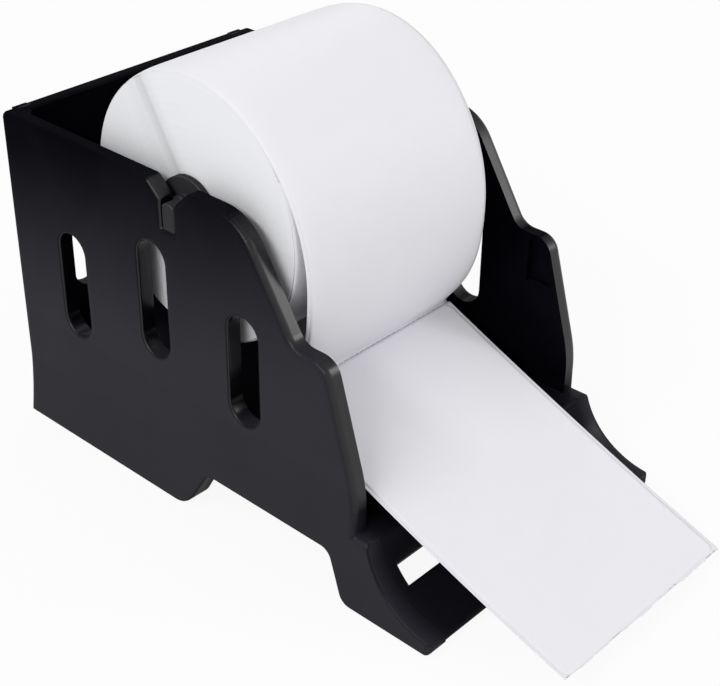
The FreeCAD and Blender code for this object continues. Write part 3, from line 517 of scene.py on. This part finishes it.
def end_face_material():
    """Cut edges of the turns: rings round the axis, from a noise of the radius, and the dent's
    painted shade, a ramp over the distance from its radius that paints the dent and one side
    darker."""
    material, tree, shader = blank_material("roll_edges")
    place = tree.nodes.new("ShaderNodeTexCoord").outputs["Object"]
    from_axis = add_node(tree, "Mapping", "Vector",
                         {"Location": (0.0, -axis_y, -axis_z), "Vector": place})
    _, across, up = split(tree, from_axis)
    flat = add_node(tree, "CombineXYZ", "Vector", {"X": across, "Y": up})
    radius = add_node(tree, "VectorMath", "Value", {0: flat}, operation="LENGTH")
    angle = calculate(tree, "ARCTAN2", up, across)
    swept = add_node(tree, "CombineXYZ", "Vector",
                     {"X": radius, "Y": calculate(tree, "MULTIPLY", angle, RING_SWAY)})
    rings = noise(tree, swept, RINGS_PER_METRE, Detail=4.0)

    past = calculate(tree, "SUBTRACT", angle, DENT_ANGLE)
    away = calculate(tree, "MULTIPLY", past, radius)
    dent = tree.nodes.new("ShaderNodeValToRGB")
    feed(tree, dent, {"Fac": ramp(tree, away, DENT_REACH)})
    dent.color_ramp.interpolation = "EASE"
    while len(dent.color_ramp.elements) < len(DENT_TONES):
        dent.color_ramp.elements.new(0.5)
    for stop, (position, tone) in zip(dent.color_ramp.elements, DENT_TONES):
        stop.position = position
        stop.color = (tone, tone, tone, 1.0)

    unshaded_edges = mixed(tree, rings, EDGE_GREY, EDGE_WHITE)
    feed(tree, shader, {"Base Color": mixed(tree, 1.0, unshaded_edges, dent.outputs["Color"], "MULTIPLY"),
                        "Normal": paper_bump(tree, rings, RING_BUMP),
                        "Roughness": CUT_ROUGHNESS})
    return material


label_paper = paper_material("label_paper", LABEL_SHADE, LABEL_WHITE, fibre_size=0.0007,
                             roughness=0.55, depth=0.00002)
wound_roll = wound_roll_surface()
wound_roll.data.materials.append(label_paper)
wound_roll.data.materials.append(end_face_material())
normals = np.zeros(len(wound_roll.data.polygons) * 3)
wound_roll.data.polygons.foreach_get("normal", normals)
is_end = (np.abs(normals.reshape(-1, 3)[:, 0]) > END_FACING).astype(np.int32)
wound_roll.data.polygons.foreach_set("material_index", is_end)
wound_roll.data.set_sharp_from_angle(angle=math.radians(40))
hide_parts("label_roll")
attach(wound_roll, "roll")


# ---------------------------------------------------------------- last turns of the web
# The roll has sprung open in front: one turn is a little slack there, and the last one stands
# off in a loose belly, down to a sharp fold on a perforation. A glazed liner carries the labels,
# and their edges stop short of the liner's, which leaves a fine double line.

LINER = 0.00012
FACE_STOCK = 0.00014
FACE_LIFT, FACE_SUNK = 0.00013, 0.00003
WEB_SHY = 0.0001
EDGE_STRIP = 0.00135
TURN_INSET = 0.00028
SLACK = 0.0006
UNDER, CLOSED, DEPART = (math.radians(a) for a in (150.0, 260.0, 130.0))
BELLY_RADIUS = 0.0732

# Ends of the belly's two curves as (y, z), and how far each end's handle stands off it.
FOLD, CREASE = (-0.0015, 0.0664), (-0.0019, 0.0648)
BELLY_HANDLE, ABOVE_FOLD = (0, -0.028), (-0.0105, 0.0125)
BELOW_FOLD, CREASE_HANDLE = (0.0006, -0.0008), (0.0012, 0.0005)

# The perforation's ties and slits, and the ways before the crease where the rows get closer.
TIE_PITCH, TIE_WIDTH, SLIT = 0.0032, 0.0007, 0.00022
TIE_STEPS = (-0.58, -0.5, 0.5, 0.58)
FINE_FROM, FINE_TO, LAST_ROWS = 0.004, 0.0006, 0.0002
LABELLED_WAY, LABEL_END, RISE_WAY = 0.105, 0.0003, 0.035


def unit(angle):
    """Direction (y, z) by angle in radians from +Y over the top."""
    return np.stack([np.cos(angle), np.sin(angle)], axis=-1)


def curve(points, count):
    """Cubic Bezier curve through (y, z) control points."""
    t = np.linspace(0.0, 1.0, count)[:, None]
    a, b, c, d = (np.asarray(p) for p in points)
    return a * (1 - t) ** 3 + 3 * b * t * (1 - t) ** 2 + 3 * c * t ** 2 * (1 - t) + d * t ** 3


def web_path():
    """Side view of the last turns: slack turn, tight turn, belly arc, lower belly and fold.

    The slack turn stands off by a squared sine; the belly is an arc that leaves the roll at
    DEPART, and two curves bring it down to the fold and round it to the crease.
    """
    axis = np.array([axis_y, axis_z])
    lay = turn_high.z - axis_z - TURN_INSET
    angle = np.linspace(UNDER, CLOSED, 70)
    stand_off = SLACK * np.sin(math.pi * (angle - UNDER) / (CLOSED - UNDER)) ** 2
    slack = axis + (lay + stand_off)[:, None] * unit(angle)
    tight = axis + lay * unit(np.linspace(CLOSED, DEPART + 2 * math.pi, 140)[1:])
    centre = axis + (lay - BELLY_RADIUS) * unit(np.array(DEPART))
    belly = centre + BELLY_RADIUS * unit(np.linspace(DEPART, math.pi, 40)[1:])
    fold, crease = np.array(FOLD), np.array(CREASE)
    lower = curve([belly[-1], belly[-1] + BELLY_HANDLE, fold + ABOVE_FOLD, fold], 40)[1:]
    turn = curve([fold, fold + BELOW_FOLD, crease + CREASE_HANDLE, crease], 12)[1:]
    return np.vstack([slack, tight, belly, lower, turn])


def way_along(path):
    """Distance along a path at each of its points."""
    return np.concatenate([[0.0], np.cumsum(np.linalg.norm(np.diff(path, axis=0), axis=1))])


def on_path(path, way, lift):
    """Points at distances along a path, moved off its right-hand side by lift."""
    at = way_along(path)
    ahead = np.gradient(path, at, axis=0)
    ahead /= np.linalg.norm(ahead, axis=1)[:, None]
    y, z, along_y, along_z = (np.interp(way, at, column) for column in (*path.T, *ahead.T))
    return y + lift * along_z, z - lift * along_y


def thick_sheet(name, points, thickness):
    """Sheet of even thickness, half of it on each side of a grid of points."""
    piece = grid_mesh(name, points)
    thicken = piece.modifiers.new("sheet", "SOLIDIFY")
    thicken.thickness = thickness
    thicken.offset = 0.0
    return piece


def wound_sheet(name, path, way, x, lift, thickness):
    """Thin sheet along a path: way and x are grids, and it sinks towards the web's edges."""
    y, z = on_path(path, way, lift - edge_droop(x))
    return thick_sheet(name, np.stack([x, y, z], axis=-1), thickness)


def tie_columns(left, right):
    """X of the columns across the web, four to each perforation tie, and whether on a tie."""
    centres = np.arange(left + TIE_PITCH / 2, right, TIE_PITCH)
    steps = np.array(TIE_STEPS) * TIE_WIDTH
    x = np.concatenate([[left], (centres[:, None] + steps).ravel(), [right]])
    held = np.concatenate([[False], np.tile([False, True, True, False], len(centres)), [False]])
    return x, held


turns = web_path()
crease_way = way_along(turns)[-1]
across, on_tie = tie_columns(turn_low.x + WEB_SHY, turn_high.x - WEB_SHY)
rows = np.concatenate([np.linspace(0.0, crease_way - FINE_FROM, 210),
                       np.linspace(crease_way - FINE_FROM, crease_way - FINE_TO, 14)[1:]])
rows = np.broadcast_to(rows[:, None], (len(rows), len(across)))
last = crease_way - np.outer(np.linspace(1.0, 0.0, 4),
                             np.where(on_tie, LAST_ROWS, LAST_ROWS + SLIT))
last[-1] = np.where(on_tie, crease_way, crease_way - SLIT)
rows = np.vstack([rows, last])
loose_turn = wound_sheet("loose_turn", turns, rows, np.broadcast_to(across, rows.shape), 0.0,
                         LINER)
loose_turn.data.materials.append(label_paper)
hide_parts("outer_turn")
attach(loose_turn, "spindle")

belly_way = crease_way - LABELLED_WAY
rows, across = np.meshgrid(np.linspace(belly_way, crease_way - LABEL_END, 140),
                           np.linspace(turn_low.x + EDGE_STRIP, turn_high.x - EDGE_STRIP, 60),
                           indexing="ij")
risen = ((rows - belly_way) / RISE_WAY).clip(0, 1)
lift = (FACE_LIFT + FACE_SUNK) * risen ** 2 * (3 - 2 * risen) - FACE_SUNK
turn_labels = wound_sheet("turn_labels", turns, rows, across, lift, FACE_STOCK)
turn_labels.data.materials.append(label_paper)
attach(turn_labels, "spindle")


# ---------------------------------------------------------------- strip
# The outgoing strip: liner torn off at the next perforation, and one die-cut label with round
# corners. It keeps some curl from the roll and twists a little.

LINER_WHITE = (0.78, 0.78, 0.825, 1.0)
LINER_SHADE = (0.73, 0.73, 0.78, 1.0)
CURL_RADIUS = 1.2
TWIST = 0.0017
TORN_SHY = 0.0010
RAGGED = 0.00022
NIB, NIB_FROM = 0.00018, 0.8
LABEL_SIZE = (0.101, 0.1495)
LABEL_CORNER = 0.003
LABEL_INSET = 0.0017
LABEL_SKEW = 0.0006

strip_low, strip_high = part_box("liner_strip")
strip_run, strip_drop = CREASE[0] - strip_low.y, CREASE[1] - strip_low.z
strip_length = math.hypot(strip_run, strip_drop)
strip_middle = (strip_low.x + strip_high.x) / 2


def strip_points(share, across, lift):
    """Points on the strip: share of the way (rows) by x (columns), lifted off its upper side.

    From the crease to the free end it is a flat arc of CURL_RADIUS, sagging under its chord.
    The left side rises and the right side falls with the square of the way, as a twist.
    """
    down = math.atan2(strip_drop, strip_run)
    sag = strip_length ** 2 / (2 * CURL_RADIUS) * share * (1 - share)
    side = (across - strip_middle) / (strip_high.x - strip_low.x) * 2
    y = CREASE[0] - strip_length * share * math.cos(down) - (sag - lift) * math.sin(down)
    z = CREASE[1] - strip_length * share * math.sin(down) - (sag - lift) * math.cos(down)
    return np.stack(np.broadcast_arrays(across, y, z - TWIST * side * share ** 2), axis=-1)


def strip_sheet(name, share, across, lift, thickness, material, node, slot):
    """One sheet of the strip, which stands in for a part node and hides it."""
    piece = thick_sheet(name, strip_points(share, across, lift), thickness)
    piece.data.materials.append(material)
    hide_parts(node)
    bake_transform(piece)
    return piece


def label_grid(count):
    """Share of the strip's way and x over the label: a rectangle whose rows shrink by the
    label's corner round near both ends, set a little askew on the liner."""
    width, length = LABEL_SIZE
    corner = np.linspace(0.0, math.pi / 2, 9)
    near = LABEL_CORNER * (1 - np.cos(corner))
    reach = np.concatenate([near, np.linspace(LABEL_CORNER, length - LABEL_CORNER, 120)[1:-1],
                            length - near[::-1]])
    edge = np.minimum(reach, length - reach)
    shy = np.where(edge < LABEL_CORNER, LABEL_CORNER - np.sqrt(
        np.maximum(LABEL_CORNER ** 2 - (LABEL_CORNER - edge) ** 2, 0)), 0.0)
    half = width / 2 - shy
    x = strip_middle + half[:, None] * np.linspace(-1.0, 1.0, count)
    skew = LABEL_SKEW * np.linspace(-1.0, 1.0, count)
    share = 1.0 - (LABEL_INSET + reach[:, None] + skew) / strip_length
    return share[::-1], x[::-1]


liner_paper = paper_material("liner_paper", LINER_SHADE, LINER_WHITE, fibre_size=0.0005,
                             roughness=0.38, depth=0.00001)
rows, columns = np.meshgrid(np.linspace(0.0, 1.0, 130),
                            np.linspace(strip_low.x, strip_high.x, 209), indexing="ij")
nibs = NIB * (np.sin(columns * 2 * math.pi / TIE_PITCH) > NIB_FROM)
ragged = RAGGED * (np.sin(columns * 190) + 0.7 * np.sin(columns * 470 + 1.0)
                   + 0.4 * np.sin(columns * 1130 + 2.0))
torn = rows - (TORN_SHY + ragged - nibs) / strip_length * (rows == 1.0)
strip_sheet("strip_liner", torn, columns, 0.0, LINER, liner_paper, "liner_strip", "liner_paper")
strip_sheet("strip_label", *label_grid(70), FACE_LIFT, FACE_STOCK, label_paper, "front_label",
            "label_paper")


# ---------------------------------------------------------------- table, light and camera
# A wide table top, painted matt in a pale neutral grey, in a white room. Six soft boxes stand
# round it, and a long lens looks down on it from the left front.

FLOOR_SIZE = 6.0
FLOOR_PALE = (0.80, 0.80, 0.80, 1.0)
FLOOR_ROUGHNESS = 0.9
WHITE_SHARE = 0.92
ROOM_LIGHT = 0.57
LAMPS_AIM = (0.0, 0.0, 0.08)
CAMERA_PLACE = (-0.3915, -0.3447, 0.3880)
AZIMUTH, ELEVATION, ROLL = (math.radians(a) for a in (-48.02, 31.87, 0.81))


def background_rays(tree):
    """1 for rays from the camera and for those seen in gloss or glass, 0 for light on things."""
    ray = tree.nodes.new("ShaderNodeLightPath").outputs
    seen = calculate(tree, "MAXIMUM", ray["Is Camera Ray"], ray["Is Glossy Ray"])
    return calculate(tree, "MAXIMUM", seen, ray["Is Transmission Ray"])


def table_material():
    """Pale paint that is near white to the eye, so that the table runs into the room."""
    material, tree, shader = blank_material("table_white")
    feed(tree, shader, {"Base Color": FLOOR_PALE, "Roughness": FLOOR_ROUGHNESS,
                        "Specular IOR Level": 0.0})
    glow = tree.nodes.new("ShaderNodeEmission")
    white = calculate(tree, "MULTIPLY", background_rays(tree), WHITE_SHARE)
    surface = add_node(tree, "MixShader", "Shader",
                       {"Fac": white, 1: shader.outputs["BSDF"], 2: glow.outputs["Emission"]})
    feed(tree, tree.nodes["Material Output"], {"Surface": surface})
    return material


half = FLOOR_SIZE / 2
floor_mesh = bpy.data.meshes.new("table_top")
floor_mesh.from_pydata([(-half, -half, 0), (half, -half, 0), (half, half, 0), (-half, half, 0)],
                       [], [(0, 1, 2, 3)])
floor = bpy.data.objects.new("table_top", floor_mesh)
bpy.context.scene.collection.objects.link(floor)
floor.data.materials.append(table_material())

world = bpy.data.worlds.new("studio")
bpy.context.scene.world = world
world.use_nodes = True
room = world.node_tree
feed(room, room.nodes["Background"], {
    "Color": (1.0, 1.0, 1.0, 1.0),
    "Strength": ramp(room, background_rays(room), low=ROOM_LIGHT)})


def soft_box(name, place, size, power, tilt=0.0):
    """An area lamp at a place, turned to LAMPS_AIM: its size is its width and its height, and
    tilt turns it about its line of sight."""
    lamp = bpy.data.lights.new(name, "AREA")
    lamp.shape = "RECTANGLE"
    lamp.size, lamp.size_y = size
    lamp.energy = power
    box = bpy.data.objects.new(name, lamp)
    box.location = place
    box.rotation_mode = "QUATERNION"
    facing = (Vector(LAMPS_AIM) - Vector(place)).to_track_quat("-Z", "Y")
    box.rotation_quaternion = facing @ Quaternion((0, 0, 1), tilt)
    bpy.context.scene.collection.objects.link(box)


soft_box("overhead", (0.15, 0.10, 1.50), (1.0, 1.0), 1.2)
soft_box("left", (-1.05, -0.08, 0.95), (1.35, 0.20), 8.8, tilt=-0.34)
soft_box("low_left", (-1.20, -0.45, 0.35), (0.8, 0.8), 0.25)
soft_box("front", (0.30, -1.30, 0.70), (0.8, 0.8), 0.3)
soft_box("front_right", (0.86, -0.90, 0.64), (0.22, 0.62), 3.7)
soft_box("rear_right", (0.88, 0.80, 0.74), (0.25, 0.25), 1.0)

lens = bpy.data.cameras.new("camera")
lens.sensor_width = 36.0
lens.lens = 74.66
lens.clip_start = 0.01
camera = bpy.data.objects.new("camera", lens)
back = Vector((math.sin(AZIMUTH) * math.cos(ELEVATION), -math.cos(AZIMUTH) * math.cos(ELEVATION),
               math.sin(ELEVATION)))
camera.location = CAMERA_PLACE
camera.rotation_mode = "QUATERNION"
camera.rotation_quaternion = (-back).to_track_quat("-Z", "Y") @ Quaternion((0, 0, 1), ROLL)
bpy.context.scene.collection.objects.link(camera)
bpy.context.scene.camera = camera
bpy.context.scene.view_settings.view_transform = "Standard"
